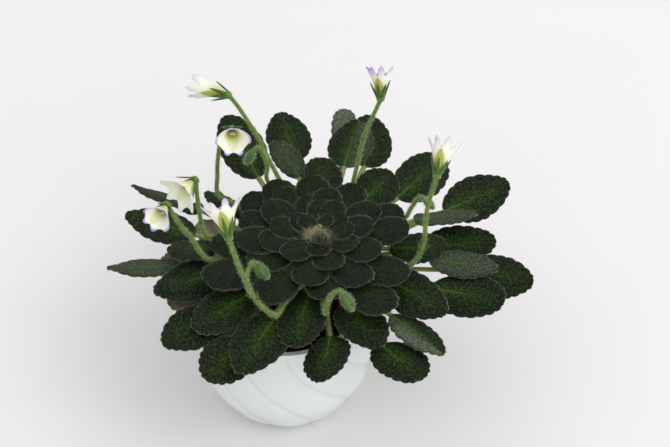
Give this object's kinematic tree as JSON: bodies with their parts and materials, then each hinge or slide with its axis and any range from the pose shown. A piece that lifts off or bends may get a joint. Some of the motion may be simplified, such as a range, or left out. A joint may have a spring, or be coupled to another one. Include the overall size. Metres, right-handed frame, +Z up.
{
  "type": "potted flowering rosette plant",
  "caption": "Low rosette of dark hairy scalloped leaves with small pale flowers on thin stalks, growing in a small twisted white pot.",
  "frame": {"origin": "middle of the pot's flat foot, on the surface that it stands on", "axes": "+Z up, +Y away from the side that the picture was taken from"},
  "size_m": [0.1527, 0.1329, 0.1129],
  "materials": {
    "glaze": "satin",
    "soil": "matte",
    "leaf": "matte",
    "dry_leaf": "matte",
    "stalk": "matte",
    "petal": "matte"
  },
  "bodies": {
    "root": {"pot": "glaze", "soil": "soil", "rosette_heart": "leaf", "leaf_01": "leaf", "leaf_02": "leaf", "leaf_03": "leaf", "leaf_04": "leaf", "leaf_05": "leaf", "leaf_06": "leaf", "leaf_07": "leaf", "leaf_08": "leaf", "leaf_09": "leaf", "leaf_10": "leaf", "leaf_11": "leaf", "leaf_12": "leaf", "leaf_13": "leaf", "leaf_14": "leaf", "leaf_15": "leaf", "leaf_16": "leaf", "leaf_17": "leaf", "leaf_18": "leaf", "leaf_19": "leaf", "leaf_20": "leaf", "leaf_21": "leaf", "leaf_22": "leaf", "leaf_23": "leaf", "leaf_24": "leaf", "leaf_25": "leaf", "leaf_26": "leaf", "leaf_27": "leaf", "leaf_28": "leaf", "leaf_29": "leaf", "leaf_30": "leaf", "leaf_31": "leaf", "leaf_32": "leaf", "leaf_33": "dry_leaf", "leaf_34": "dry_leaf", "leaf_35": "dry_leaf", "leaf_36": "dry_leaf", "flower_1_stalk": "stalk", "flower_2_stalk": "stalk", "flower_3_stalk": "stalk", "flower_4_stalk": "stalk", "flower_5_stalk": "stalk", "flower_6_stalk": "stalk", "flower_7_stalk": "stalk", "bud_1": "stalk", "bud_2": "stalk", "bud_3": "stalk", "bud_4": "stalk", "flower_1_corolla": "petal", "flower_2_corolla": "petal", "flower_3_corolla": "petal", "flower_4_corolla": "petal", "flower_5_corolla": "petal", "flower_6_corolla": "petal", "flower_7_corolla": "petal"}
  },
  "joints": []
}
